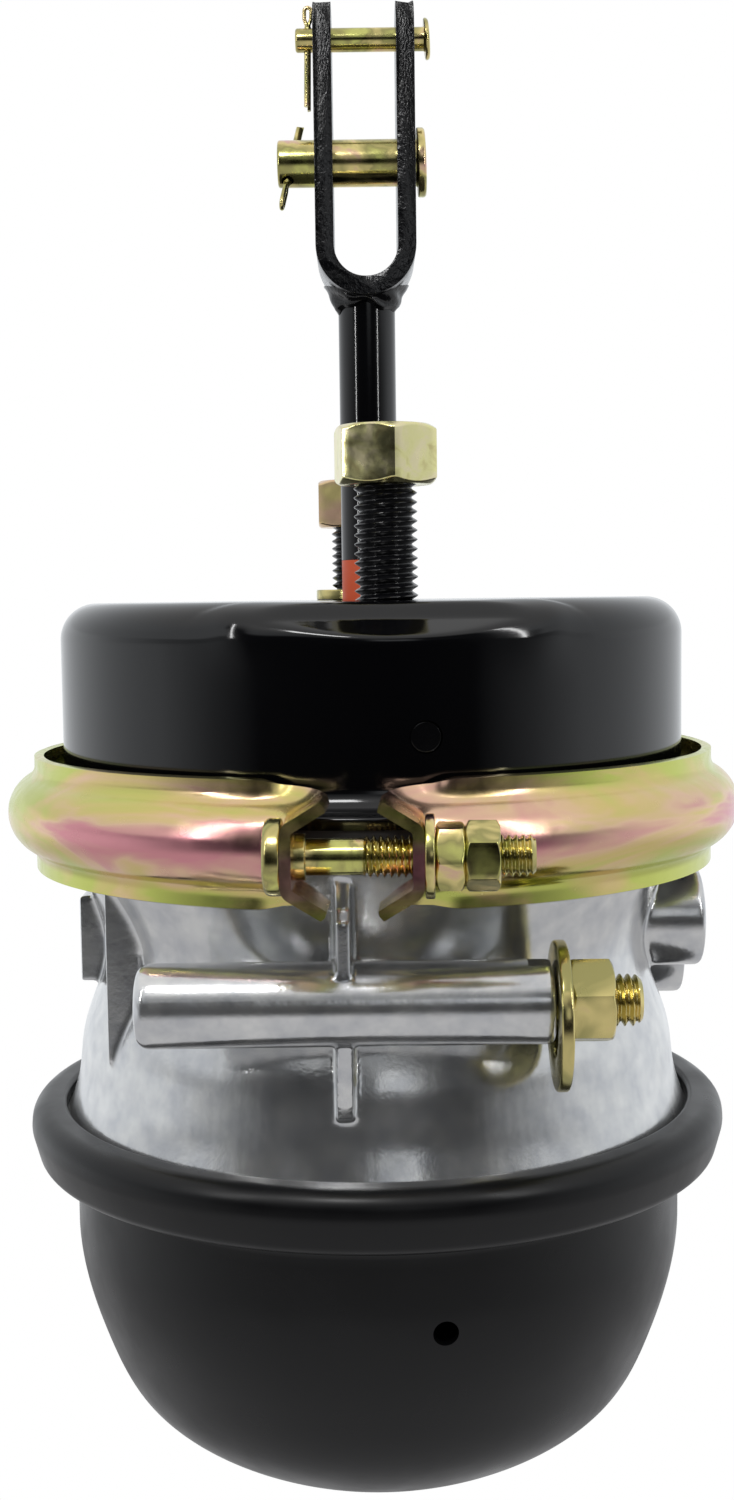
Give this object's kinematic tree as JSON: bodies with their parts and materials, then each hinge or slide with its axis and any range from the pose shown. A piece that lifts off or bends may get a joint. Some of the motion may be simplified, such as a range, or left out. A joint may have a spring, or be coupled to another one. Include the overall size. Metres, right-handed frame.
{
  "type": "air brake chamber",
  "caption": "Combination spring brake chamber: clamped service chamber, cast adapter and domed spring head, with a push rod, clevis and two mounting studs.",
  "frame": {"origin": "on the mounting face, midway between the two mounting studs", "axes": "+Z out of the mounting face along the push rod; the ports point to +X"},
  "size_m": [0.2056, 0.2442, 0.4146],
  "materials": {
    "gloss_black_paint": "gloss black paint",
    "satin_black_paint": "satin black paint",
    "black_oxide": "black phosphate on thread",
    "yellow_zinc": "yellow zinc plate",
    "clamp_zinc": "iridescent yellow zinc plate",
    "cast_aluminium": "bare die casting",
    "orange_mark": "orange paint",
    "rubber": "matt",
    "nylon": "moulded",
    "spring_steel": "oiled steel",
    "plain_steel": "plated steel"
  },
  "bodies": {
    "chamber": {"non_pressure_housing": "gloss_black_paint", "housing_vent_plug": "rubber", "mounting_studs": "black_oxide", "mounting_nuts": "yellow_zinc", "stud_washer": "yellow_zinc", "rod_dust_guard": "nylon", "clamp_half_left": "clamp_zinc", "clamp_half_right": "clamp_zinc", "clamp_bolts": "yellow_zinc", "clamp_washers": "yellow_zinc", "clamp_nuts": "yellow_zinc", "clamp_jam_nuts": "yellow_zinc", "service_diaphragm": "rubber", "service_return_spring": "spring_steel", "adapter_casting": "cast_aluminium", "stem_bushing": "nylon", "stem_o_rings": "rubber", "spring_diaphragm": "rubber", "stem_return_spring": "spring_steel", "power_spring": "spring_steel", "spring_housing": "satin_black_paint", "release_hole_plug": "rubber", "release_bolt": "yellow_zinc", "release_washer": "yellow_zinc", "release_nut": "yellow_zinc"},
    "rod": {"push_rod": "gloss_black_paint", "stroke_mark": "orange_mark", "push_plate": "plain_steel", "clevis": "gloss_black_paint"},
    "piston": {"centre_stem": "plain_steel", "pressure_plate": "plain_steel"},
    "clevis_pin_body": {"clevis_pin": "yellow_zinc", "clevis_pin_cotter": "yellow_zinc"},
    "adjuster_pin_body": {"adjuster_pin": "yellow_zinc", "adjuster_pin_cotter": "yellow_zinc"}
  },
  "joints": [
    {"name": "push_rod_stroke", "type": "slide", "parent": "chamber", "child": "rod", "axis": [0, 0, 1], "range_m": [-0.0635, 0], "stiffness_N_per_m": 2000, "springref_m": 0.05, "deforming": ["service_diaphragm", "service_return_spring"]},
    {"name": "spring_piston_stroke", "type": "slide", "parent": "chamber", "child": "piston", "axis": [0, 0, 1], "range_m": [-0.0635, 0], "deforming": ["spring_diaphragm", "stem_return_spring", "power_spring"]},
    {"name": "clevis_pin_turn", "type": "hinge", "parent": "rod", "child": "clevis_pin_body", "pos_m": [0, 0, 0.1212], "axis": [1, 0, 0], "continuous": true},
    {"name": "adjuster_pin_turn", "type": "hinge", "parent": "rod", "child": "adjuster_pin_body", "pos_m": [0, 0, 0.15455], "axis": [1, 0, 0], "continuous": true}
  ],
  "couplings": [
    {"joint": "spring_piston_stroke", "follows": "push_rod_stroke", "ratio": 1}
  ]
}
